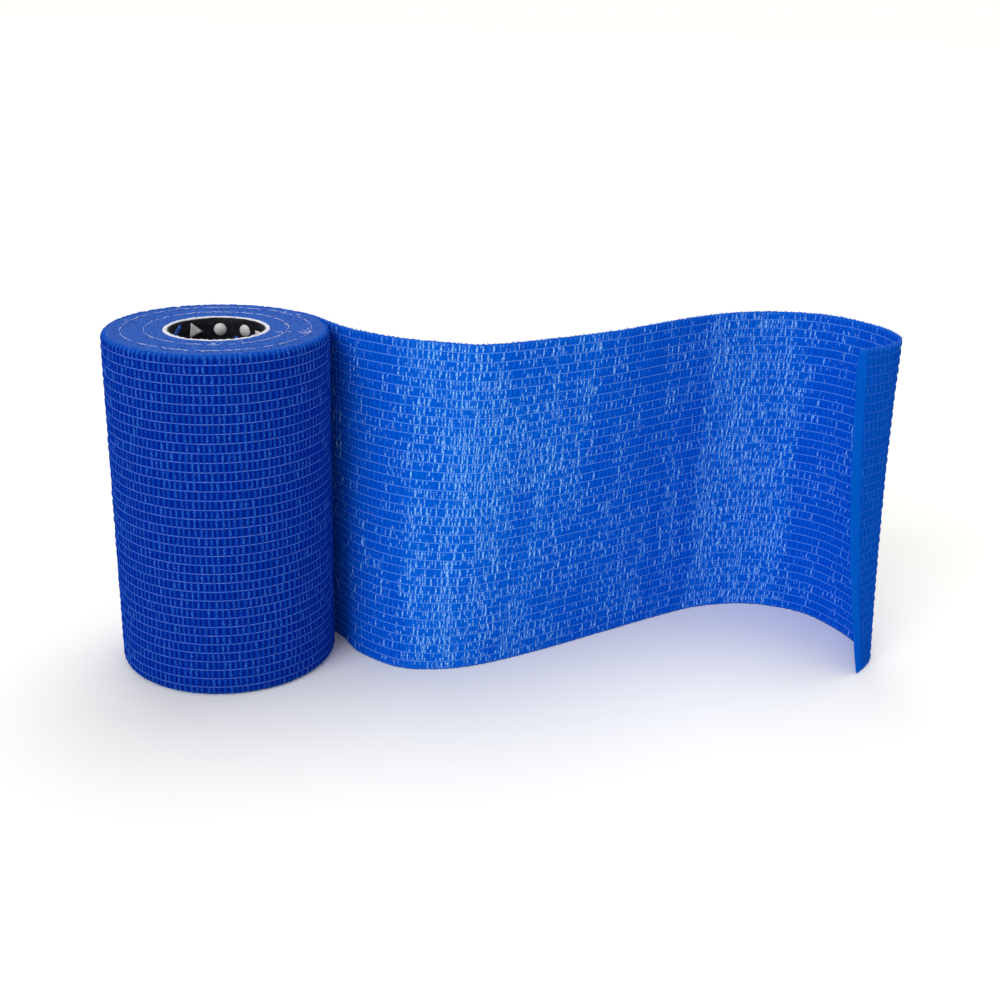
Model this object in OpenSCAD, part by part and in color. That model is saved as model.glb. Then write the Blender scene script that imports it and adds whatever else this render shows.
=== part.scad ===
// Cohesive hand-wrap bandage: a roll standing on its end, with a length drawn off it.
// The strip is a laminate of two thin webs with elastic threads between them.
// Origin: the roll's axis at the surface it stands on. +Z up, +X towards the drawn-off length.

/* [Bandage strip] */
// Width of the strip, which is the height of the standing roll
strip_w = 100; // [50:5:120]
// Thickness of the whole laminate, relaxed
strip_t = 1; // [0.9:0.05:1.1]
// Thickness of each of the two webs
web_t = 0.3; // [0.24:0.02:0.3]
// Number of elastic threads across the strip
thread_count = 36; // [10:1:40]
// Thickness of one elastic thread
thread_t = 0.24; // [0.12:0.02:0.26]

/* [Roll] */
// Outer radius of the roll
roll_r = 31.8; // [29:0.1:33]
// Room between the outer turn and the roll that turns inside it
turning_gap = 0.3; // [0.3:0.05:0.5]
// Angle where the drawn-off length leaves the roll, from +X
peel_angle = 39; // [36:1:42]

/* [Core] */
// Outer radius of the core tube
core_r = 14.9; // [12:0.1:16]
// Wall of the core tube
core_wall = 1.25; // [0.8:0.05:2]
// Thickness of the printed film inside the core
liner_t = 0.22; // [0.1:0.02:0.4]

/* [Drawn-off length] */
// Straight lead from the roll to the first bend line
lead_len = 16; // [14:0.5:18]
// Room left between the solids at each bend line
bend_gap = 1; // [0.8:0.1:1.4]
// Straight pieces drawn between two points of the strip's route
route_steps = 4; // [2:1:5]

/* [Hidden] */

// The route of the strip's middle in plan, from the first bend line: a wave to the front
// and a wave to the back. The free end then curls round to the front again.
tail_route = [[40, 0.3], [52, -7.5], [64, -9.5], [77, -8], [95, 2], [115, 15.5], [135, 31],
              [150, 40.5], [167, 44.5], [183, 40], [193, 28], [197.5, 14]];
free_end_route = [[195.5, 6], [191.5, 1], [186.5, -3]];

face_gap = 0.03;           // keeps bonded faces from sharing volume
wound_clearance = 0.1;     // between one wound turn and the next
lift_clearance = 0.2;      // between the start of the outer turn and the strip above it
tape_t = 0.2;              // double-sided tape that holds the first turn on the core
tape_angle = 50;
tape_margin = 5;           // bare core left at each end of the tape
fine = 96;                 // sides of a circle where it is drawn as a mesh

strip_mid_r = roll_r - strip_t / 2;
thread_pitch = strip_w / (thread_count + 1);

// Each layer of the laminate lies between two distances from the strip's middle.
// The positive side is the outer face of the roll.
outer_web_layer = [strip_t / 2 - web_t, strip_t / 2];
inner_web_layer = [-strip_t / 2, web_t - strip_t / 2];
thread_layer = [-thread_t / 2, thread_t / 2];

// The wound strip is a spiral of half rings: the centre of each half is a quarter of the
// pitch to one side, so that every half starts where the last one ends.
wound_inner_r = core_r + tape_t + 2 * face_gap;
wound_outer_r = roll_r - strip_t - turning_gap;
wound_depth = wound_outer_r - wound_inner_r;
half_turn_count = 2 * floor(wound_depth / strip_t) - 1;
wound_pitch = (wound_depth + wound_clearance) / (half_turn_count / 2 + 1);
wound_strip_t = wound_pitch - wound_clearance;

peel_point = strip_mid_r * [cos(peel_angle), sin(peel_angle)];
peel_way = [sin(peel_angle), -cos(peel_angle)];
bend_line_1 = peel_point + lead_len * peel_way;

function unit(v) = v / norm(v);
function left_of(v) = [-v[1], v[0]];
function reversed(list) = [for (i = [len(list) - 1:-1:0]) list[i]];
function point_at(pts, i) = pts[max(0, min(len(pts) - 1, i))];

// Catmull-Rom curve through all the points, drawn with straight pieces
function spline_point(a, b, c, d, t) =
    (2 * b + (c - a) * t + (2 * a - 5 * b + 4 * c - d) * t * t
     + (3 * b - a - 3 * c + d) * t * t * t) / 2;
function spline(pts, steps) = concat(
    [for (i = [0:len(pts) - 2], k = [0:steps - 1])
        spline_point(point_at(pts, i - 1), pts[i], pts[i + 1], point_at(pts, i + 2), k / steps)],
    [pts[len(pts) - 1]]);

// The line that keeps a constant distance to the left of a route
function beside(route, distance) = [for (i = [0:len(route) - 1])
    route[i] + distance * left_of(unit(point_at(route, i + 1) - point_at(route, i - 1)))];

// A route with its first and last points moved inwards along it
function shortened(route, start_by, end_by) = let (last = len(route) - 1) concat(
    [route[0] + start_by * unit(route[1] - route[0])],
    [for (i = [1:last - 1]) route[i]],
    [route[last] - end_by * unit(route[last] - route[last - 1])]);

strip_path = spline(concat([bend_line_1], tail_route, free_end_route), route_steps);
bend_2_index = len(tail_route) * route_steps;
tail_path = shortened([for (i = [0:bend_2_index]) strip_path[i]], bend_gap / 2, bend_gap / 2);
free_end_path = shortened([for (i = [bend_2_index:len(strip_path) - 1]) strip_path[i]],
                          bend_gap / 2, 0);

// How far past the peel angle a layer of the outer turn starts, to lie clear of the lead
function start_angle(span) =
    acos((roll_r - strip_t - lift_clearance) / (strip_mid_r + span[1]));

module tube(outer_r, inner_r) {
    difference() {
        cylinder(h = strip_w, r = outer_r, $fn = fine);
        translate([0, 0, -1])
            cylinder(h = strip_w + 2, r = inner_r, $fn = fine);
    }
}

// One layer of the outer turn, with the straight lead that leaves it along a tangent
module turn_and_lead(span, height) {
    inner_r = strip_mid_r + span[0];
    thickness = span[1] - span[0];
    rotate([0, 0, peel_angle]) {
        rotate_extrude(angle = 360 - start_angle(span), $fn = fine)
            translate([inner_r, 0])
                square([thickness, height]);
        translate([inner_r, bend_gap / 2 - lead_len, 0])
            cube([thickness, lead_len - bend_gap / 2, height]);
    }
}

// One layer of the strip along a route
module ribbon(route, span, height) {
    linear_extrude(height = height)
        polygon(concat(beside(route, span[0]), reversed(beside(route, span[1]))));
}

// Copies a single thread up the width of the strip
module each_thread() {
    for (i = [1:thread_count])
        translate([0, 0, i * thread_pitch - thread_t / 2])
            children();
}

module core_tube() {
    color("whitesmoke") tube(core_r, core_r - core_wall);
}

module core_liner() {
    liner_r = core_r - core_wall - face_gap;
    color("black") tube(liner_r, liner_r - liner_t);
}

module start_tape() {
    color("wheat")
        rotate([0, 0, peel_angle - tape_angle])
            rotate_extrude(angle = tape_angle, $fn = fine)
                translate([core_r + face_gap, tape_margin])
                    square([tape_t, strip_w - 2 * tape_margin]);
}

module wound_turns() {
    color("royalblue")
        for (i = [0:half_turn_count - 1])
            rotate([0, 0, peel_angle - 180 * (i + 1)])
                translate([wound_pitch / 4, 0, 0])
                    rotate_extrude(angle = 180, $fn = fine)
                        translate([wound_inner_r + wound_pitch * (i / 2 + 0.25), 0])
                            square([wound_strip_t, strip_w]);
}

module outer_turn_inner_web() {
    color("dodgerblue") turn_and_lead(inner_web_layer, strip_w);
}

module outer_turn_threads() {
    color("lightsteelblue") each_thread() turn_and_lead(thread_layer, thread_t);
}

module outer_turn_outer_web() {
    color("mediumblue") turn_and_lead(outer_web_layer, strip_w);
}

module tail_inner_web() {
    color("dodgerblue") ribbon(tail_path, inner_web_layer, strip_w);
}

module tail_threads() {
    color("lightsteelblue") each_thread() ribbon(tail_path, thread_layer, thread_t);
}

module tail_outer_web() {
    color("mediumblue") ribbon(tail_path, outer_web_layer, strip_w);
}

module free_end_inner_web() {
    color("dodgerblue") ribbon(free_end_path, inner_web_layer, strip_w);
}

module free_end_threads() {
    color("lightsteelblue") each_thread() ribbon(free_end_path, thread_layer, thread_t);
}

module free_end_outer_web() {
    color("mediumblue") ribbon(free_end_path, outer_web_layer, strip_w);
}

core_tube();
core_liner();
start_tape();
wound_turns();
outer_turn_inner_web();
outer_turn_threads();
outer_turn_outer_web();
tail_inner_web();
tail_threads();
tail_outer_web();
free_end_inner_web();
free_end_threads();
free_end_outer_web();
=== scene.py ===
# %% [markdown]
# # A cohesive hand wrap, standing on its end
# The object is a roll of elastic crepe bandage that sticks only to itself. Two thin webs of
# non-woven cloth are glued on a row of stretched rubber threads. When the threads let go, the
# webs pucker into small upright crimps, and those crimps are most of what the eye sees. The
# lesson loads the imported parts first, because every piece has to sit where they are.

# %% Load the frame
import math
import bpy
import numpy as np
from mathutils import Matrix, Vector


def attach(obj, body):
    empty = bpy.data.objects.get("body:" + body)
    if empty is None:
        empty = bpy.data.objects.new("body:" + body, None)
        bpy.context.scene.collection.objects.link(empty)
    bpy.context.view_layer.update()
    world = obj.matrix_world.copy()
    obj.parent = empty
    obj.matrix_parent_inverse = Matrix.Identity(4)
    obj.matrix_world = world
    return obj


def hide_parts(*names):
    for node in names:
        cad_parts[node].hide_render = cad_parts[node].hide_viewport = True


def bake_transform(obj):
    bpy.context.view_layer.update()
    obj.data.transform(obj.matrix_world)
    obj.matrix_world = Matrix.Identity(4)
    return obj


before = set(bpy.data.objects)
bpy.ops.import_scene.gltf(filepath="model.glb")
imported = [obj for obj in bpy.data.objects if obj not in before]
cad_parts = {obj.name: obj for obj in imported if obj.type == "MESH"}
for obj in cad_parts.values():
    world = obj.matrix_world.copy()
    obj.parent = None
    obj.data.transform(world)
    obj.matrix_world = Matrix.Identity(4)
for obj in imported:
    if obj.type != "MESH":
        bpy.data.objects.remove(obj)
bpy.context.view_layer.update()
MM = 0.001

# %% [markdown]
# ## Camera
# The camera comes first, so that a first picture can be made of anything. It looks along +Y
# from a little above the roll, and it is rolled by under two degrees, as a hand-levelled
# tripod head often is. The frame stays level: only the camera turns.

# %% The camera
CAMERA_PLACE = Vector((0.0814, -0.3644, 0.1876))
CAMERA_PITCH = math.radians(20.58)
CAMERA_ROLL = math.radians(1.84)


def look(pitch, roll):
    """The rotation of a camera that looks along +Y, tipped down by pitch and rolled."""
    ahead = Vector((0, math.cos(pitch), -math.sin(pitch)))
    side = Vector((1, 0, 0))
    up = side.cross(ahead)
    side, up = (side * math.cos(roll) + up * math.sin(roll),
                up * math.cos(roll) - side * math.sin(roll))
    return Matrix((side, up, -ahead)).transposed().to_4x4()


bpy.ops.object.camera_add()
camera = bpy.context.object
camera.name = "camera"
camera.data.lens = 47.51
camera.data.sensor_width = 36
camera.matrix_world = Matrix.Translation(CAMERA_PLACE) @ look(CAMERA_PITCH, CAMERA_ROLL)
bpy.context.scene.camera = camera
bpy.context.scene.view_settings.view_transform = "Standard"

# %% [markdown]
# ## Small tools for materials
# Every finish here is made of nodes. A few short helpers keep the recipes readable: one makes
# a material with its constants set, and the others chain arithmetic, mix colours, and make
# noise and bumps.


# %% Material helpers
def shader(name, colour, roughness, specular=0.5):
    """A new material with its Principled shader's constants set."""
    made = bpy.data.materials.new(name)
    made.use_nodes = True
    principled = made.node_tree.nodes["Principled BSDF"]
    principled.inputs["Base Color"].default_value = (*colour, 1)
    principled.inputs["Roughness"].default_value = roughness
    principled.inputs["Specular IOR Level"].default_value = specular
    return made, made.node_tree, principled


def feed(tree, socket, value):
    """Puts a number, a colour or another node's output into a socket."""
    if isinstance(value, bpy.types.NodeSocket):
        tree.links.new(value, socket)
    else:
        socket.default_value = value


def calc(tree, kind, *values, clamp=False):
    """The output of a Math node of the given kind."""
    node = tree.nodes.new("ShaderNodeMath")
    node.operation = kind
    node.use_clamp = clamp
    for socket, value in zip(node.inputs, values):
        feed(tree, socket, value)
    return node.outputs[0]


def blend_colour(tree, share, first, second):
    """The colour that is first where share is 0 and second where it is 1."""
    node = tree.nodes.new("ShaderNodeMix")
    node.data_type = "RGBA"
    for index, value in ((0, share), (6, first), (7, second)):
        if isinstance(value, tuple):
            value = (*value, 1)
        feed(tree, node.inputs[index], value)
    return node.outputs[2]


def rise(tree, value, low, high):
    """0 below low and 1 above high, with a smooth rise between."""
    node = tree.nodes.new("ShaderNodeMapRange")
    node.interpolation_type = "SMOOTHSTEP"
    feed(tree, node.inputs["Value"], value)
    node.inputs["From Min"].default_value = low
    node.inputs["From Max"].default_value = high
    return node.outputs["Result"]


def grain(tree, vector, scale, detail=2.0):
    """Noise from 0 to 1 over the given coordinates."""
    node = tree.nodes.new("ShaderNodeTexNoise")
    node.inputs["Scale"].default_value = scale
    node.inputs["Detail"].default_value = detail
    tree.links.new(vector, node.inputs["Vector"])
    return node.outputs["Fac"]


def relief(tree, principled, height, distance):
    """Drives the shader's normal from a height, with distance in millimetres."""
    node = tree.nodes.new("ShaderNodeBump")
    node.inputs["Strength"].default_value = 1.0
    node.inputs["Distance"].default_value = distance * MM
    tree.links.new(height, node.inputs["Height"])
    tree.links.new(node.outputs["Normal"], principled.inputs["Normal"])


# %% [markdown]
# ## Floor and light
# The roll stands on a white sweep: a floor whose far edge is pulled up into a wall, with a
# wide bevel so that no line shows. Two planes would leave a line where they meet.

# %% The sweep
bpy.ops.object.select_all(action="DESELECT")
FLOOR_SIZE, WALL_HEIGHT, SWEEP_BEVEL = 16, 5, 1.5
bpy.ops.mesh.primitive_plane_add(size=FLOOR_SIZE, location=(0, 4, -0.0001))
floor = bpy.context.object
floor.name = "floor"
for vertex in floor.data.vertices:
    vertex.select = vertex.co.y > 0
for edge in floor.data.edges:
    edge.select = all(floor.data.vertices[i].co.y > 0 for i in edge.vertices)
for face in floor.data.polygons:
    face.select = False
bpy.ops.object.mode_set(mode="EDIT")
bpy.ops.mesh.select_mode(type="EDGE")
bpy.ops.mesh.extrude_region_move(TRANSFORM_OT_translate={"value": (0, 0, WALL_HEIGHT)})
bpy.ops.object.mode_set(mode="OBJECT")
for edge in floor.data.edges:
    ends = [floor.data.vertices[i].co for i in edge.vertices]
    edge.select = all(end.y > 0 and abs(end.z) < 0.1 for end in ends)
bpy.ops.object.mode_set(mode="EDIT")
bpy.ops.mesh.bevel(offset=SWEEP_BEVEL, segments=16)
bpy.ops.object.mode_set(mode="OBJECT")
bpy.ops.object.shade_smooth()
floor.data.materials.append(shader("floor_white", (0.96, 0.95, 0.91), 0.7, 0.0)[0])
print("sweep:", len(floor.data.polygons), "faces")

# %% [markdown]
# A high, wide light from behind throws the short soft shadow that lies in front of the strip.
# A lower one from the front left shows the relief of the crimps and leaves the roll's right
# side darker. Area lamps would fade across the floor, so both are suns: the sweep is then
# equally white everywhere.


# %% The lights
def sun(name, towards, width, strength):
    """A sun that shines from a direction; width is its angle across, in degrees."""
    bpy.ops.object.light_add(type="SUN", location=Vector(towards))
    made = bpy.context.object
    made.name = name
    made.data.angle = math.radians(width)
    made.data.energy = strength
    made.rotation_euler = Vector(towards).to_track_quat("Z", "Y").to_euler()


sun("high_behind", (0.10, 0.42, 1.0), 40, 1.05)
sun("front_left", (-0.50, -0.80, 0.60), 40, 1.30)
surround = bpy.data.worlds.new("surround")
surround.use_nodes = True
surround.node_tree.nodes["Background"].inputs["Color"].default_value = (1, 1, 1, 1)
surround.node_tree.nodes["Background"].inputs["Strength"].default_value = 0.62
bpy.context.scene.world = surround

# %% [markdown]
# ## The route of the strip
# The strip is one long band, so every piece of it is made flat first and then laid along the
# same route: round the roll, off along a tangent, and through the waves of the drawn-off
# length. A place on the strip is told by two numbers: how far along it lies from where it
# leaves the roll, and how high it is above the floor.

# %% Where the strip runs, in millimetres
STRIP_W = 100.0
STRIP_MID_R = 31.3
PEEL_ANGLE = math.radians(39)
LEAD_LEN = 16.0
TAIL_ROUTE = [(40, 0.3), (52, -7.5), (64, -9.5), (77, -8), (95, 2), (115, 15.5), (135, 31),
              (150, 40.5), (167, 44.5), (183, 40), (193, 28), (197.5, 14),
              (195.5, 6), (191.5, 1), (186.5, -3)]
# How far the strip's top edge stands off the route at each point. The bottom edge stands as
# far off on the other side, so the strip leans a little one way and then the other.
TOP_LEAN = [(0, 2), (0, 2.8), (0, 1.6), (0, -1), (0, -1.7), (0, -2.1), (0, -0.5),
            (0, 0.5), (0, 1.4), (0.3, 2.2), (1.2, 1.5), (-0.3, 2),
            (-2.5, 1), (-3.7, 1.5), (-5.3, 2)]

peel_point = STRIP_MID_R * np.array([math.cos(PEEL_ANGLE), math.sin(PEEL_ANGLE)])
peel_way = np.array([math.sin(PEEL_ANGLE), -math.cos(PEEL_ANGLE)])
bend_line = peel_point + LEAD_LEN * peel_way


def spline(points, steps=24):
    """A Catmull-Rom curve through points, as a dense line of places."""
    pts = np.array([points[0], *points, points[-1]], float)
    t = np.linspace(0, 1, steps, endpoint=False)[:, None]
    runs = []
    for a, b, c, d in zip(pts, pts[1:], pts[2:], pts[3:]):
        runs.append((2 * b + (c - a) * t + (2 * a - 5 * b + 4 * c - d) * t ** 2
                     + (3 * b - a - 3 * c + d) * t ** 3) / 2)
    return np.vstack([*runs, pts[-1:]])


def edge_line(sign):
    """The drawn-off length's top (sign 1) or bottom (-1) edge in plan, at even lengths."""
    points = [tuple(bend_line)] + [(x + sign * dx, y + sign * dy)
                                   for (x, y), (dx, dy) in zip(TAIL_ROUTE, TOP_LEAN)]
    line = np.vstack([peel_point, spline(points)])
    along = np.concatenate([[0], np.cumsum(np.linalg.norm(np.diff(line, axis=0), axis=1))])
    even = np.linspace(0, along[-1], 1200)
    return np.stack([np.interp(even, along, line[:, k]) for k in (0, 1)], 1), along[-1]


bottom_line, bottom_len = edge_line(-1)
top_line, top_len = edge_line(1)
DRAWN_LEN = (bottom_len + top_len) / 2
print(f"drawn-off length {DRAWN_LEN:.1f} mm (bottom {bottom_len:.1f}, top {top_len:.1f})")


def along_line(line, s):
    """Places on one of the edge lines at lengths s."""
    share = np.clip(s / DRAWN_LEN, 0, 1) * (len(line) - 1)
    return np.stack([np.interp(share, np.arange(len(line)), line[:, k]) for k in (0, 1)], 1)


end_way = bottom_line[-1] + top_line[-1] - bottom_line[-12] - top_line[-12]
end_way /= np.linalg.norm(end_way)
END_BOW = 3.4
END_BOW_FADE = 16


def end_bow(s, z):
    """How far the strip's cut end bulges past its corners, fading out along the strip."""
    near_end = np.clip(1 - (DRAWN_LEN - s) / END_BOW_FADE, 0, 1.05)
    return END_BOW * near_end ** 2 * np.sin(math.pi * np.clip(z / STRIP_W, 0, 1)) ** 0.8


def route_point(s, z):
    """Plan places of the strip's middle at lengths s and heights z."""
    angle = PEEL_ANGLE - np.minimum(s, 0) / STRIP_MID_R
    on_roll = STRIP_MID_R * np.stack([np.cos(angle), np.sin(angle)], 1)
    low, high = along_line(bottom_line, s), along_line(top_line, s)
    drawn = low + (high - low) * (z / STRIP_W)[:, None] + end_way * end_bow(s, z)[:, None]
    return np.where((s < 0)[:, None], on_roll, drawn)


def route_frame(s, z):
    """Places on the strip's middle and the unit directions to its left, the outer face."""
    here = route_point(s, z)
    middle = np.minimum(s, DRAWN_LEN - 0.4)
    ahead = route_point(middle + 0.4, z) - route_point(middle - 0.4, z)
    ahead /= np.linalg.norm(ahead, axis=1)[:, None]
    return here, np.stack([-ahead[:, 1], ahead[:, 0]], 1)


# %% [markdown]
# ## The crimps
# Each row between two threads puckers on its own, but its neighbours pull at it, so crimps
# line up over a few rows and then slip. A cosine along the strip makes the crimps, and soft
# random maps shift them: a wide one that neighbouring rows share, a finer one, and one that
# jumps from row to row. The crimp's turn number also goes into a UV map, so that the finish
# can draw each crimp finer than the mesh does, and in the same place.

# %% Crimp pattern
THREADS = 36
THREAD_PITCH = STRIP_W / (THREADS + 1)
CRIMP_PITCH = 1.6
MAP_SIZE = 128
maps = np.random.default_rng(7).uniform(-1, 1, (8, MAP_SIZE, MAP_SIZE))


def soft_noise(x, y, which):
    """Smooth random numbers from -1 to 1, one for each pair x, y; which picks the map."""
    xi, yi = np.floor(x).astype(int), np.floor(y).astype(int)
    fx, fy = x - xi, y - yi
    fx, fy = fx * fx * (3 - 2 * fx), fy * fy * (3 - 2 * fy)
    corner = [[maps[which][(xi + i) % MAP_SIZE, (yi + j) % MAP_SIZE] for j in (0, 1)]
              for i in (0, 1)]
    return ((corner[0][0] * (1 - fx) + corner[1][0] * fx) * (1 - fy)
            + (corner[0][1] * (1 - fx) + corner[1][1] * fx) * fy)


def smooth(x, low, high):
    """0 below low, 1 above high, and a smooth rise between."""
    t = np.clip((x - low) / (high - low), 0, 1)
    return t * t * (3 - 2 * t)


def crimp_turns(s, row):
    """How many crimps have passed at length s in a row."""
    shift = (0.9 * soft_noise(s / 9, row / 4, 0) + 0.22 * soft_noise(s / 3.1, row / 1.3, 1)
             + 0.3 * soft_noise(s / 24, row, 2))
    return (s + shift) / CRIMP_PITCH


def swell(z):
    """How far a row has swelled, from 0 on a thread to 1 midway to the next."""
    return np.sin(math.pi * np.mod(z / THREAD_PITCH, 1)) ** 0.7


def ridge(s, row):
    """The height of the crimp's ridge, from 0 in a valley to 1."""
    turns = crimp_turns(s, row)
    strength = 0.75 + 0.25 * soft_noise(turns, row, 3)
    return strength * (0.5 + 0.5 * np.cos(2 * math.pi * turns)) ** 1.4


# %% [markdown]
# ## A web of crepe
# A web starts as a flat grid with three cells to a row, so that a thread always lies on a
# line of vertices. Its vertices are then laid on the route and pushed out by the crimps. A
# cloth simulation would not help here, because the pattern is set by the threads and not by
# gravity. Solidify gives the web its thickness, about a fifth of a millimetre.

# %% The web maker
WEB_T = 0.18
CELLS_PER_ROW = 3
STEP = 0.36
RING_STEP = 0.44
# The webs part a little more towards the free end, between these two lengths.
EASE_FROM, EASE_TO = 150, 205
EDGE_TURN_IN, EDGE_TURN_WIDTH = 0.85, 1.9
# The direction in plan that the sheet has to face for the painted sheen and glints on its latex
# face, a highlight painted into its colour.
PAINTED_SHEEN_WAY = np.array([0.12, -0.99])


def read_vertices(mesh):
    """A mesh's vertex places as an (n, 3) array."""
    flat = np.empty(len(mesh.vertices) * 3, np.float32)
    mesh.vertices.foreach_get("co", flat)
    return flat.reshape(-1, 3).astype(float)


def write_vertices(mesh, places):
    """Moves a mesh's vertices to places given in millimetres."""
    mesh.vertices.foreach_set("co", (places * MM).astype(np.float32).ravel())
    mesh.update()


def add_uv(mesh, name, first, second):
    """A UV map with one pair of numbers for each face corner."""
    layer = mesh.uv_layers.get(name) or mesh.uv_layers.new(name=name)
    layer.data.foreach_set("uv", np.stack([first, second], 1).astype(np.float32).ravel())


def crowd_edges(z):
    """Moves the heights in the two edge rows towards the edges, which have to look round."""
    from_edge = np.minimum(z, STRIP_W - z) / THREAD_PITCH
    crowded = np.where(from_edge < 1, np.clip(from_edge, 0, 1) ** 1.6, from_edge) * THREAD_PITCH
    return np.where(z < STRIP_W / 2, crowded, STRIP_W - crowded)


def looseness(s, z):
    """How free the web is to pucker: not at the very edges, nor at the strip's cut end."""
    return smooth(np.minimum(z, STRIP_W - z), -1.2, 1.2) * smooth(DRAWN_LEN - s, 2.4, 3.6)


def edge_curl(s, z):
    """How far the strip's edges turn in where it is wound on the roll."""
    from_edge = np.clip(np.minimum(z, STRIP_W - z) / EDGE_TURN_WIDTH, 0, 1)
    return -EDGE_TURN_IN * smooth(-s, 1, 8) * (1 - from_edge) ** 2


def web(name, start, end, side, step, cells):
    """A web of crepe from length start to end; side 1 is the outer web, -1 the inner."""
    bpy.ops.object.select_all(action="DESELECT")
    bpy.ops.mesh.primitive_grid_add(x_subdivisions=max(2, round((end - start) / step)),
                                    y_subdivisions=(THREADS + 1) * cells, size=1)
    made = bpy.context.object
    made.name = made.data.name = name
    mesh = made.data
    flat = read_vertices(mesh)
    s = start + (flat[:, 0] + 0.5) * (end - start)
    z = crowd_edges((flat[:, 1] + 0.5) * STRIP_W)
    row = np.clip(np.floor(z / THREAD_PITCH + 0.01), 0, THREADS)
    loose = looseness(s, z)
    eased = smooth(s, EASE_FROM, EASE_TO)
    bulge = loose * (0.10 * swell(z) + ridge(s, row) * (0.08 + 0.30 * swell(z)))
    here, left = route_frame(s, z)
    off = 0.13 + 0.06 * eased + bulge
    place = here + left * (side * off + edge_curl(s, z))[:, None]
    at_edge = 1 - smooth(np.minimum(z, STRIP_W - z), 0, 0.9)
    ragged = 0.22 * ridge(s, row) + 0.10 * soft_noise(s / 0.7, z * 0, 4) - 0.20
    height = z + np.where(z > STRIP_W / 2, 1, -0.4) * at_edge * ragged
    write_vertices(mesh, np.column_stack([place, height]))

    corner = np.empty(len(mesh.loops), np.int32)
    mesh.loops.foreach_get("vertex_index", corner)
    add_uv(mesh, "UVMap", s[corner] / STRIP_W, z[corner] / STRIP_W)
    face_z = z[corner].reshape(-1, 4).mean(1)
    face_row = np.repeat(np.floor(face_z / THREAD_PITCH), 4)
    add_uv(mesh, "crimp", crimp_turns(s[corner], face_row), z[corner] / THREAD_PITCH)
    # How far the inner web faces that way: an attribute that drives its painted highlight.
    painted_sheen_facing = smooth(side * left @ PAINTED_SHEEN_WAY, 0.80, 0.98) if side < 0 else 0 * s
    for attribute, values in (("loose", loose), ("painted_sheen_facing", painted_sheen_facing), ("eased", eased)):
        mesh.attributes.new(attribute, "FLOAT", "POINT").data.foreach_set(
            "value", values.astype(np.float32))
    if side > 0:
        mesh.flip_normals()
    return made


def thicken(piece, thickness):
    """Gives a sheet its thickness inwards from its shown face, and smooth shading."""
    bpy.ops.object.select_all(action="DESELECT")
    piece.select_set(True)
    bpy.context.view_layer.objects.active = piece
    solid = piece.modifiers.new("thickness", "SOLIDIFY")
    solid.thickness = thickness * MM
    solid.offset = -1
    bpy.ops.object.modifier_apply(modifier="thickness")
    bpy.ops.object.shade_smooth()
    print(f"{piece.name}: {len(piece.data.polygons)} faces")
    return piece


# %% [markdown]
# Three stretches of strip move apart: the outer turn, the tail and the free end. Each gets an
# outer and an inner web. The inner web of the outer turn is hidden, so its grid is coarse.

# %% The six webs
SPLIT = 132.0
TURN_START = -190.0
WEBS = {"outer_turn_outer_web": (TURN_START + 3, 0, 1, RING_STEP, CELLS_PER_ROW),
        "outer_turn_inner_web": (TURN_START, 0, -1, 1.0, 1),
        "tail_outer_web": (0, SPLIT, 1, STEP, CELLS_PER_ROW),
        "tail_inner_web": (0, SPLIT, -1, STEP, CELLS_PER_ROW),
        "free_end_outer_web": (SPLIT, DRAWN_LEN, 1, STEP, CELLS_PER_ROW),
        "free_end_inner_web": (SPLIT, DRAWN_LEN, -1, STEP, CELLS_PER_ROW)}
pieces = {}
for name, plan in WEBS.items():
    pieces[name] = thicken(web("crepe_" + name, *plan), WEB_T)

# %% [markdown]
# ## Elastic threads
# The threads lie between the webs and show through where the crepe is thin, as a row of pale
# dashes. Each thread is a poly curve with a bevel, turned into a mesh: that keeps it a real,
# closed tube. It weaves a little from side to side, as a slack rubber thread does.


# %% The threads
def tubes(name, lines, radius):
    """One mesh of closed tubes that follow the given lines of places, in millimetres."""
    data = bpy.data.curves.new(name, "CURVE")
    data.dimensions = "3D"
    data.bevel_depth = radius * MM
    data.bevel_resolution = 0
    data.use_fill_caps = True
    for places in lines:
        path = data.splines.new("POLY")
        path.points.add(len(places) - 1)
        points = np.column_stack([places * MM, np.ones(len(places))])
        path.points.foreach_set("co", points.astype(np.float32).ravel())
    made = bpy.data.objects.new(name, data)
    bpy.context.collection.objects.link(made)
    bpy.ops.object.select_all(action="DESELECT")
    made.select_set(True)
    bpy.context.view_layer.objects.active = made
    bpy.ops.object.convert(target="MESH")
    bpy.ops.object.shade_smooth()
    print(f"{name}: {len(bpy.context.object.data.polygons)} faces")
    return bpy.context.object


def thread_lines(start, end):
    """The middle lines of all the threads from length start to end."""
    s = np.linspace(start, end, round((end - start) / 0.5))
    for i in range(1, THREADS + 1):
        z = np.full_like(s, i * THREAD_PITCH)
        here, left = route_frame(s, z)
        weave = 0.04 * soft_noise(s / 1.1, z, 5) + edge_curl(s, z)
        yield np.column_stack([here + left * weave[:, None], z])


THREAD_R = 0.17
THREAD_START = TURN_START + 2
THREAD_STOP = DRAWN_LEN - 3
pieces["outer_turn_threads"] = tubes("rubber_outer_turn", thread_lines(THREAD_START, 0),
                                     THREAD_R)
pieces["tail_threads"] = tubes("rubber_tail", thread_lines(0, SPLIT), THREAD_R)
pieces["free_end_threads"] = tubes("rubber_free_end", thread_lines(SPLIT, THREAD_STOP),
                                   THREAD_R)

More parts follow.
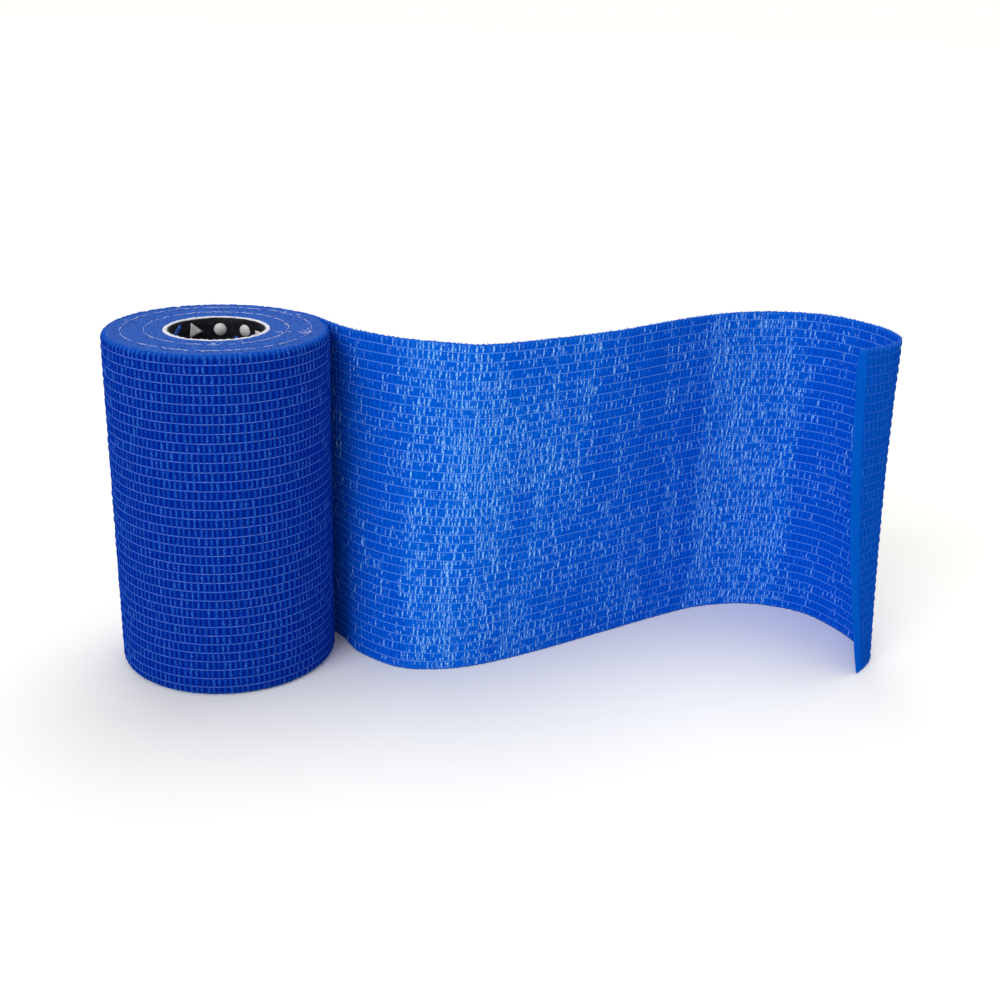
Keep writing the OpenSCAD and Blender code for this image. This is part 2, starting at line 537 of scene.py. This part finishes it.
# %% [markdown]
# ## The finish of the crepe
# One recipe serves both faces. It reads the crimp map, draws a thin wandering crest along each
# crimp, gives every crimp its own strength, and lays fine fibres over all of it. Its colours
# paint shade into the valleys and a highlight on the ridges and crests. The outer face is matte
# and painted dark in its valleys. The inner face carries the sticky latex, so its colours are
# brighter, and where it faces the way of the light it gets a painted sheen and painted glints:
# short upright dashes.


# %% The crepe recipe
# The first two colours and the last are painted light: the sheen and glints of the latex face, and a
# highlight on the edge rows.
PAINTED_SHEEN_COLOUR = (0.0010, 0.165, 0.74)
PAINTED_GLINT_COLOUR = (0.30, 0.61, 1.0)
PLAIN_COLOUR = (0.001, 0.096, 0.55)
EDGE_HIGHLIGHT_COLOUR = (0.02, 0.16, 0.70)


def crest_lines(tree, turns, rows, wander, width, jitter, salt):
    """One thin upright line in every cell of a lattice, and the cell's own random number."""
    middle = calc(tree, "ROUND", turns)
    cell = tree.nodes.new("ShaderNodeCombineXYZ")
    for axis, value in zip("XYZ", (middle, calc(tree, "FLOOR", rows), float(salt))):
        feed(tree, cell.inputs[axis], value)
    chance = tree.nodes.new("ShaderNodeTexWhiteNoise")
    tree.links.new(cell.outputs[0], chance.inputs["Vector"])
    second = tree.nodes.new("ShaderNodeSeparateColor")
    tree.links.new(chance.outputs["Color"], second.inputs[0])
    place = calc(tree, "MULTIPLY_ADD", second.outputs["Green"], jitter, -0.5 * jitter)
    off = calc(tree, "SUBTRACT", calc(tree, "SUBTRACT", turns, middle),
               calc(tree, "ADD", place, wander))
    line = calc(tree, "SUBTRACT", 1.0, rise(tree, calc(tree, "ABSOLUTE", off), 0.2 * width,
                                            width))
    along = calc(tree, "SINE", calc(tree, "MULTIPLY", calc(tree, "FRACT", rows), math.pi))
    return calc(tree, "MULTIPLY", line, calc(tree, "POWER", along, 0.6)), chance.outputs["Value"]


def crepe(name, valley_shade, cell, body, crest_highlight, thread, roughness, shaky, relief_share, ease,
          painted_glints):
    """Crepe from the colours of its valleys, cells, crimps, crests and threads.

    The valley colour is painted shade, and the crimp and crest colours are painted highlights.
    shaky is how far the crests wander, ease how much the free end's crimps fade, and
    painted_glints whether the latex face gets painted glints: short, bright upright dashes.
    """
    made, tree, principled = shader(name, cell, roughness, 0.0)
    crimp_map = tree.nodes.new("ShaderNodeUVMap")
    crimp_map.uv_map = "crimp"
    cloth_map = tree.nodes.new("ShaderNodeUVMap")
    cloth_map.uv_map = "UVMap"
    cloth = cloth_map.outputs["UV"]
    attributes = {}
    for attribute in ("loose", "painted_sheen_facing", "eased"):
        attributes[attribute] = tree.nodes.new("ShaderNodeAttribute")
        attributes[attribute].attribute_name = attribute
    loose, painted_sheen_facing, eased = (attributes[key].outputs["Fac"] for key in attributes)
    parts = tree.nodes.new("ShaderNodeSeparateXYZ")
    tree.links.new(crimp_map.outputs["UV"], parts.inputs[0])
    turns, rows = parts.outputs["X"], parts.outputs["Y"]

    fibre = grain(tree, cloth, 330, 3.0)
    fine = calc(tree, "MULTIPLY_ADD", calc(tree, "SUBTRACT", fibre, 0.5), 1.8, 0.5, clamp=True)
    wander = calc(tree, "MULTIPLY_ADD", grain(tree, cloth, 150), shaky, -0.5 * shaky)
    line, luck = crest_lines(tree, turns, rows, wander, 0.18, 0.45, 1)
    wave = calc(tree, "COSINE", calc(tree, "MULTIPLY", turns, 2 * math.pi))
    hump = calc(tree, "MULTIPLY", calc(tree, "MULTIPLY_ADD", wave, 0.5, 0.5), loose)
    line = calc(tree, "MULTIPLY", line, loose)

    # Painted shade: the valley colour darkens the trough of each crimp.
    ground = blend_colour(tree, calc(tree, "MULTIPLY_ADD", fine, 0.5,
                                     calc(tree, "MULTIPLY", hump, 0.5), clamp=True), valley_shade, cell)
    # Painted highlight: the crimp colour lightens the top of each ridge.
    ridge_share = calc(tree, "MULTIPLY", calc(tree, "POWER", hump, 2.0),
                       calc(tree, "MULTIPLY_ADD", fine, 0.8, 0.3), clamp=True)
    coloured = blend_colour(tree, ridge_share, ground, body)
    # Painted highlight: a thin bright line along each crimp's crest, each of its own random
    # strength.
    crest_share = calc(tree, "MULTIPLY", calc(tree, "MULTIPLY", line,
                                              calc(tree, "MULTIPLY_ADD", luck, 1.1, 0.05)),
                       calc(tree, "MULTIPLY_ADD", fine, 1.1, 0.1), clamp=True)
    coloured = blend_colour(tree, crest_share, coloured, crest_highlight)

    if painted_glints:
        # Painted light on the latex face, a sheen and glints; these short crest lines give half of
        # the glints.
        short, short_luck = crest_lines(tree, calc(tree, "MULTIPLY_ADD", turns, 1.7, 0.37),
                                        calc(tree, "MULTIPLY", rows, 2.0), wander, 0.26, 0.4, 2)
        # Painted sheen: broad upright patches on the latex face, lighter where it faces the way set
        # in the web maker and where the noise is high.
        streak = tree.nodes.new("ShaderNodeVectorMath")
        streak.operation = "MULTIPLY"
        tree.links.new(cloth, streak.inputs[0])
        streak.inputs[1].default_value = (1, 0.16, 1)
        painted_sheen_patch = calc(tree, "MULTIPLY_ADD", grain(tree, streak.outputs[0], 15), 0.95,
                     calc(tree, "MULTIPLY_ADD", painted_sheen_facing, 0.40, -0.52))
        painted_sheen_share = calc(tree, "MULTIPLY", rise(tree, painted_sheen_patch, -0.10, 0.60),
                    calc(tree, "MULTIPLY", fine, 0.85))
        coloured = blend_colour(tree, painted_sheen_share, coloured, PAINTED_SHEEN_COLOUR)
        # Painted glints: bright upright dashes on the crests, where the painted sheen is strong.
        long_share = rise(tree, calc(tree, "ADD", luck, painted_sheen_patch), 0.60, 1.1)
        short_share = rise(tree, calc(tree, "ADD", short_luck, painted_sheen_patch), 0.62, 1.15)
        painted_glint_share = calc(tree, "MAXIMUM", calc(tree, "MULTIPLY", line, long_share),
                      calc(tree, "MULTIPLY", calc(tree, "MULTIPLY", short, loose), short_share))
        painted_glint_share = calc(tree, "MULTIPLY", painted_glint_share, rise(tree, fibre, 0.30, 0.62))
        painted_glint_share = rise(tree, painted_glint_share, 0.03, 0.80)
        coloured = blend_colour(tree, painted_glint_share, coloured, PAINTED_GLINT_COLOUR)

    off = calc(tree, "ABSOLUTE", calc(tree, "SUBTRACT", rows, calc(tree, "ROUND", rows)))
    thread_line = calc(tree, "SUBTRACT", 1.0, rise(tree, off, 0.025, 0.06))
    inside = calc(tree, "MULTIPLY", calc(tree, "GREATER_THAN", rows, 0.5),
                  calc(tree, "LESS_THAN", rows, THREADS + 0.5))
    shown = calc(tree, "MULTIPLY_ADD", hump, -0.35, calc(tree, "MULTIPLY_ADD", fine, 0.5, 0.5))
    thread_line = calc(tree, "MULTIPLY", calc(tree, "MULTIPLY", thread_line, inside),
                       calc(tree, "MULTIPLY", shown, loose), clamp=True)
    coloured = blend_colour(tree, thread_line, coloured, thread)
    plain = calc(tree, "MULTIPLY", calc(tree, "SUBTRACT", 1.0, loose), eased)
    smooth_share = calc(tree, "MAXIMUM", calc(tree, "MULTIPLY", eased, ease), plain)
    coloured = blend_colour(tree, smooth_share, coloured, PLAIN_COLOUR)
    # Painted highlight: the crimps of the two edge rows, where the strip turns in, are lightened.
    edge_highlight_share = rise(tree, calc(tree, "ABSOLUTE", calc(tree, "SUBTRACT", rows,
                                                        (THREADS + 1) / 2)),
                      THREADS / 2 - 0.1, (THREADS + 1) / 2)
    edge_highlight_share = calc(tree, "MULTIPLY", edge_highlight_share, calc(tree, "MULTIPLY_ADD", hump, 0.45, 0.25))
    coloured = blend_colour(tree, edge_highlight_share, coloured, EDGE_HIGHLIGHT_COLOUR)
    tree.links.new(coloured, principled.inputs["Base Color"])

    bumps = calc(tree, "ADD", calc(tree, "MULTIPLY", fibre, 0.35),
                 calc(tree, "MULTIPLY_ADD", line, 0.5, calc(tree, "MULTIPLY", hump, 0.6)))
    relief(tree, principled, bumps, 0.22 * relief_share)
    return made


# The first, third and fourth colours of each crepe are painted shade and painted highlights.
outer_crepe = crepe("outer_web_crepe", (0.0, 0.008, 0.20), (0.0003, 0.026, 0.33),
                    (0.002, 0.052, 0.43), (0.040, 0.19, 0.66), (0.10, 0.20, 0.70),
                    roughness=0.9, shaky=0.9, relief_share=1.0, ease=0.6, painted_glints=False)
inner_crepe = crepe("inner_web_crepe", (0.0, 0.062, 0.50), (0.0003, 0.082, 0.60),
                    (0.001, 0.094, 0.65), (0.005, 0.15, 0.76), (0.13, 0.37, 0.92),
                    roughness=0.8, shaky=0.45, relief_share=0.5, ease=0.0, painted_glints=True)

# %% [markdown]
# The rubber threads are paler than the crepe, and slightly lilac where they show.

# %% Thread rubber
thread_rubber, tree, principled = shader("thread_rubber", (0.20, 0.29, 0.74), 0.7, 0.1)
place = tree.nodes.new("ShaderNodeTexCoord").outputs["Object"]
patches = grain(tree, place, 900)
tree.links.new(blend_colour(tree, patches, (0.07, 0.17, 0.62), (0.26, 0.38, 0.86)),
               principled.inputs["Base Color"])

# %% [markdown]
# ## The wound turns
# The rest of the roll is seen only at its two ends, where the edges of the turns lie side by
# side and felt together. A torus is the quickest start, because it is already a closed ring:
# its small circle is pulled out to the section of the roll, and then the end faces get the
# shallow spiral of the turns and a felted roughness.

# %% A ring from a section
WOUND_IN, WOUND_OUT = 15.0, 30.72
TURN_PITCH = 1.0


def ring(name, section, sides):
    """A closed ring whose section is a loop of (radius, height) points, seen clockwise."""
    bpy.ops.object.select_all(action="DESELECT")
    bpy.ops.mesh.primitive_torus_add(major_segments=sides, minor_segments=len(section),
                                     major_radius=1, minor_radius=0.5)
    made = bpy.context.object
    made.name = made.data.name = name
    start = read_vertices(made.data)
    angle = np.arctan2(start[:, 1], start[:, 0])
    around = np.arctan2(start[:, 2], np.hypot(start[:, 0], start[:, 1]) - 1)
    order = np.rint(around / (2 * math.pi) * len(section)).astype(int) % len(section)
    section = np.array(section, float)
    return made, angle, section[order, 0], section[order, 1]


def place_ring(made, angle, radius, height):
    """Moves a ring's vertices to their angles, radii and heights."""
    write_vertices(made.data, np.column_stack([radius * np.cos(angle), radius * np.sin(angle),
                                               height]))
    bpy.ops.object.shade_smooth()
    print(f"{made.name}: {len(made.data.polygons)} faces")


section = ([(WOUND_OUT, z) for z in np.linspace(1, 99, 5)]
           + [(r, 99.7) for r in np.linspace(WOUND_OUT - 0.05, WOUND_IN + 0.1, 92)]
           + [(WOUND_IN, z) for z in np.linspace(99, 1, 5)]
           + [(r, 0.2) for r in np.linspace(WOUND_IN + 0.1, WOUND_OUT - 0.05, 60)])
wound, angle, radius, height = ring("crepe_wound_turns", section, 480)
turn = (radius - WOUND_IN) / TURN_PITCH + angle / (2 * math.pi)
layers = 0.5 + 0.5 * np.cos(2 * math.pi * (turn + 0.10 * soft_noise(angle * 9, radius / 3, 5)))
felt = soft_noise(radius * 2.2 + 40, angle * radius * 1.6 + 300, 6)
on_end = np.where(height > 99.5, 1, 0) - np.where(height < 0.5, 1, 0)
height = height + on_end * (0.09 * layers + 0.08 * felt)
place_ring(wound, angle, radius, height)
pieces["wound_turns"] = wound

# %% [markdown]
# The cut edges of the crepe look like felt: matte, a shade more violet than the outer face,
# with a fine mottle of fibres and only a trace of the turns.

# %% Felted edges
felt_edge, tree, principled = shader("felted_edges", (0.04, 0.12, 0.5), 0.9, 0.05)
place = tree.nodes.new("ShaderNodeTexCoord").outputs["Object"]
mottle = rise(tree, grain(tree, place, 2600, 3.0), 0.28, 0.72)
clouds = rise(tree, grain(tree, place, 260, 2.0), 0.3, 0.7)
colour = blend_colour(tree, mottle, (0.003, 0.028, 0.23), (0.060, 0.185, 0.68))
colour = blend_colour(tree, calc(tree, "MULTIPLY", clouds, 0.2), colour, (0.040, 0.140, 0.56))
tree.links.new(colour, principled.inputs["Base Color"])
relief(tree, principled, mottle, 0.16)

# %% [markdown]
# ## Frayed threads on the top
# A few rubber threads have crept out between the turns. They lie on the end face as two
# broken rings, with loose curls here and there. They are tubes too, with a shaky route.

# %% Frayed threads
chance = np.random.default_rng(21)


def frayed_arc(radius, first, last):
    """A shaky line on the end face at a radius, between two angles in degrees."""
    count = max(6, int(abs(last - first) / 0.8))
    angle = np.radians(np.linspace(first, last, count))
    r = radius + np.cumsum(chance.normal(0, FRAY_SHAKE, count)) * 0.3 + chance.normal(0, 0.06, count)
    z = 99.86 + 0.09 * np.abs(chance.normal(0, 1, count))
    return np.column_stack([r * np.cos(angle), r * np.sin(angle), z])


def curl(radius, degrees, size):
    """A small loose curl of thread at a place on the end face."""
    count = 9
    heading = chance.uniform(0, 2 * math.pi) + np.cumsum(chance.normal(0, 0.9, count))
    steps = size * np.column_stack([np.cos(heading), np.sin(heading)])
    start = radius * np.array([math.cos(math.radians(degrees)), math.sin(math.radians(degrees))])
    z = 99.9 + 0.5 * np.abs(np.sin(np.linspace(0, 5, count))) * chance.uniform(0.3, 1)
    return np.column_stack([start + np.cumsum(steps, 0), z])


FRAY_RADII = [20.0, 26.4]
FRAY_SHAKE = 0.10
frays = []
for radius in FRAY_RADII:
    degrees = chance.uniform(-180, -170)
    while degrees < 175:
        run = chance.uniform(4, 24)
        frays.append(frayed_arc(radius, degrees, degrees + run))
        degrees += run + chance.uniform(0.5, 7)
for degrees in chance.uniform(-170, 170, 16):
    frays.append(curl(chance.choice(FRAY_RADII), degrees, 0.28))
for degrees in (-9, -7, -5, -2):
    frays.append(curl(26.5, degrees, 0.42))
frayed = tubes("frayed_threads", frays, 0.075)
frayed_white, tree, principled = shader("frayed_white", (0.62, 0.68, 0.92), 0.8, 0.1)
place = tree.nodes.new("ShaderNodeTexCoord").outputs["Object"]
tree.links.new(blend_colour(tree, rise(tree, grain(tree, place, 500), 0.35, 0.65),
                            (0.20, 0.30, 0.80), (0.82, 0.84, 0.95)),
               principled.inputs["Base Color"])
frayed.data.materials.append(frayed_white)

# %% [markdown]
# ## The core
# The core is a plain white tube, cut off by a saw and a little furred at its rim. It is made
# as a ring again, with rounded ends and a shaky rim. The dark film inside it is a ring too.

# %% Core tube and liner
CORE_OUT, CORE_IN = 14.9, 13.66
LINER_IN = 13.41


def tube_section(inner, outer, low, high, rounding):
    """The section of a tube with rounded ends."""
    middle, half = (inner + outer) / 2, (outer - inner) / 2
    bend = np.linspace(0, math.pi, 9)
    top = [(middle + half * math.cos(a), high - rounding + rounding * math.sin(a)) for a in bend]
    bottom = [(middle - half * math.cos(a), low + rounding - rounding * math.sin(a))
              for a in bend]
    return ([(outer, z) for z in np.linspace(low + 2, high - 2, 5)] + top
            + [(inner, z) for z in np.linspace(high - 2, low + 2, 5)] + bottom)


core, angle, radius, height = ring("white_core_tube",
                                   tube_section(CORE_IN, CORE_OUT, 0, 100, 0.5), 240)
near_top = smooth(height, 97, 99.6)
torn = 0.07 + 0.14 * smooth(-np.sin(angle), 0.2, 0.9)
radius = radius + near_top * 0.10 * soft_noise(angle * 14, height, 6)
height = height + near_top * torn * (soft_noise(angle * 22, angle * 3 + 50, 7) - 0.4)
place_ring(core, angle, radius, np.minimum(height, 100.15))
pieces["core_tube"] = core

liner, angle, radius, height = ring("printed_liner",
                                    tube_section(LINER_IN, CORE_IN - 0.02, 0, 99.7, 0.1), 240)
height = height + smooth(height, 97, 99.6) * 0.12 * soft_noise(angle * 7, height, 5)
place_ring(liner, angle, radius, height)
pieces["core_liner"] = liner

core_white, tree, principled = shader("core_white", (0.82, 0.83, 0.86), 0.6, 0.2)
place = tree.nodes.new("ShaderNodeTexCoord").outputs["Object"]
speckle = rise(tree, grain(tree, place, 1800, 3.0), 0.35, 0.7)
tree.links.new(blend_colour(tree, speckle, (0.58, 0.61, 0.72), (0.84, 0.85, 0.87)),
               principled.inputs["Base Color"])
relief(tree, principled, speckle, 0.06)
core.data.materials.append(core_white)

liner_film, tree, principled = shader("liner_film", (0.008, 0.009, 0.014), 0.35, 0.4)
place = tree.nodes.new("ShaderNodeTexCoord").outputs["Object"]
scuffs = rise(tree, grain(tree, place, 700, 3.0), 0.45, 0.75)
tree.links.new(blend_colour(tree, scuffs, (0.005, 0.005, 0.008), (0.02, 0.02, 0.03)),
               principled.inputs["Base Color"])
relief(tree, principled, scuffs, 0.02)
liner.data.materials.append(liner_film)

# %% [markdown]
# The film is printed with a plain pattern of dots, bars and triangles. Each kind of mark is
# drawn flat once, and its copies are turned, bent to the tube and given a film's thickness.

# %% Printed marks
MARK_R = LINER_IN - 0.03


def mark(kind):
    """A flat mark, as a new object in millimetres."""
    bpy.ops.object.select_all(action="DESELECT")
    if kind == "bar":
        bpy.ops.mesh.primitive_grid_add(x_subdivisions=8, y_subdivisions=1, size=1)
        scale = (7.2, 1.5)
    else:
        sides, scale = (28, (1.8, 1.8)) if kind == "dot" else (3, (2.6, 2.6))
        bpy.ops.mesh.primitive_circle_add(vertices=sides, radius=1, fill_type="TRIFAN")
    made = bpy.context.object
    bpy.ops.object.mode_set(mode="EDIT")
    bpy.ops.mesh.select_all(action="SELECT")
    if kind == "triangle":
        bpy.ops.mesh.subdivide(number_cuts=2)
    bpy.ops.object.mode_set(mode="OBJECT")
    flat = read_vertices(made.data) * np.array([*scale, 1])
    return made, flat


def bend_mark(made, flat, across, height, turn):
    """Turns a flat mark, and bends it round the inside of the tube."""
    x = flat[:, 0] * math.cos(turn) - flat[:, 1] * math.sin(turn)
    y = flat[:, 0] * math.sin(turn) + flat[:, 1] * math.cos(turn)
    angle = (across + x) / MARK_R
    write_vertices(made.data, np.column_stack([MARK_R * np.cos(angle), MARK_R * np.sin(angle),
                                               height + y]))


marks = {"white": [], "blue": []}
MARKS_ROUND = 11
for row, height in enumerate(np.arange(96.3, 4, -5.5)):
    for column in range(MARKS_ROUND):
        kind = ("bar", "dot", "triangle", "bar", "dot")[(2 * row + 3 * column) % 5]
        made, flat = mark(kind)
        across = (column + 0.5 * (row % 2)) * 2 * math.pi * MARK_R / MARKS_ROUND
        bend_mark(made, flat, across, height, 0.6 + 1.9 * ((row * 5 + column * 3) % 7))
        marks["blue" if (row + 2 * column) % 5 == 0 else "white"].append(made)

for colour_name, colour in (("white", (0.72, 0.72, 0.70)), ("blue", (0.02, 0.13, 0.62))):
    bpy.ops.object.select_all(action="DESELECT")
    for made in marks[colour_name]:
        made.select_set(True)
    bpy.context.view_layer.objects.active = marks[colour_name][0]
    bpy.ops.object.join()
    joined = bpy.context.object
    joined.name = joined.data.name = "liner_marks_" + colour_name
    thicken(joined, 0.02)
    ink, tree, principled = shader("liner_ink_" + colour_name, colour, 0.5, 0.3)
    place = tree.nodes.new("ShaderNodeTexCoord").outputs["Object"]
    worn = rise(tree, grain(tree, place, 1500, 3.0), 0.25, 0.5)
    tree.links.new(blend_colour(tree, worn, tuple(0.55 * c for c in colour), colour),
                   principled.inputs["Base Color"])
    joined.data.materials.append(ink)
    pieces["marks_" + colour_name] = joined

# %% [markdown]
# ## Fuzz
# Crepe sheds fibres along its edges. They are short, thin tubes with a bend in each, rooted
# in the strip's edge. Each stretch of strip has its own, and those of the outer turn ride on its
# body.


# %% Edge fibres
def fibres(name, start, end, per_mm):
    """Short loose fibres along both edges of the strip, from length start to end."""
    count = int((end - start) * per_mm)
    s = chance.uniform(start, end, count)
    top = chance.random(count) < 0.5
    z = np.where(top, STRIP_W - 0.3, 0.3)
    here, left = route_frame(s, z)
    ahead = np.column_stack([left[:, 1], -left[:, 0]])
    side = chance.normal(0, 0.35, count) + edge_curl(s, z)
    length = chance.uniform(0.2, 0.65, count)
    lean, drift = chance.normal(0, 0.5, count), chance.normal(0, 0.6, count)
    lines = []
    for t in (0.0, 0.55, 1.0):
        plan = (here + left * (side + lean * length * t * t)[:, None]
                + ahead * (drift * length * t)[:, None])
        up = np.where(top, z + length * t, z - 0.25 * length * t)
        lines.append(np.column_stack([plan, up]))
    return tubes(name, np.stack(lines, 1), 0.035)


FIBRES = {"outer_turn": fibres("fibres_outer_turn", TURN_START + 4, 0, 2.5),
          "tail": fibres("fibres_tail", 0, SPLIT, 7),
          "free_end": fibres("fibres_free_end", SPLIT, DRAWN_LEN, 7)}
fibre_blue, tree, principled = shader("fibre_blue", (0.06, 0.2, 0.7), 0.8, 0.1)
place = tree.nodes.new("ShaderNodeTexCoord").outputs["Object"]
tree.links.new(blend_colour(tree, rise(tree, grain(tree, place, 1200), 0.4, 0.6),
                            (0.01, 0.09, 0.55), (0.14, 0.33, 0.9)),
               principled.inputs["Base Color"])
for piece in FIBRES.values():
    piece.data.materials.append(fibre_blue)

# %% [markdown]
# ## Start tape
# A strip of double-sided tape holds the first turn on the core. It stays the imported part's
# own shape, hidden in the roll, and only gets a finish.

# %% Tape finish
tape_tan, tree, principled = shader("tape_tan", (0.62, 0.52, 0.34), 0.55, 0.3)
place = tree.nodes.new("ShaderNodeTexCoord").outputs["Object"]
tree.links.new(blend_colour(tree, grain(tree, place, 300, 3.0), (0.55, 0.45, 0.28),
                            (0.70, 0.61, 0.44)), principled.inputs["Base Color"])
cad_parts["start_tape"].data.materials.clear()
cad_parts["start_tape"].data.materials.append(tape_tan)

# %% [markdown]
# ## Give the pieces their bodies
# The strip bends at two places. The roll's pieces and the frayed threads ride on the roll, and
# the outer turn rides whole on its own body. The tail's and the free end's pieces are not
# blended: they only have their transforms baked.

# %% Bodies and materials
for name in WEBS:
    pieces[name].data.materials.append(outer_crepe if "outer_web" in name else inner_crepe)
    "outer_web" if "outer_web" in name else "inner_web"
pieces["wound_turns"].data.materials.append(felt_edge)

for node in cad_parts:
    if node in pieces:
        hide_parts(node)
for name in ("wound_turns", "core_tube", "core_liner", "marks_white", "marks_blue"):
    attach(pieces[name], "roll")
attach(frayed, "roll")


def follow(piece, stretch):
    """Attaches a piece of the outer turn to its body; other pieces only get their transforms baked.
    """
    if stretch == "outer_turn":
        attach(piece, "outer_turn")
    elif stretch == "tail":
        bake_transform(piece)
    else:
        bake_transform(piece)


LENGTHS = {"outer_turn": -TURN_START, "tail": SPLIT, "free_end": DRAWN_LEN - SPLIT}
for stretch, length in LENGTHS.items():
    rubber = pieces[stretch + "_threads"]
    rubber.data.materials.append(thread_rubber)
    follow(rubber, stretch)
    follow(FIBRES[stretch], stretch)
    inner, outer = pieces[stretch + "_inner_web"], pieces[stretch + "_outer_web"]
    flat = (STRIP_W * MM, length * MM)
    follow(inner, stretch)
    follow(outer, stretch)
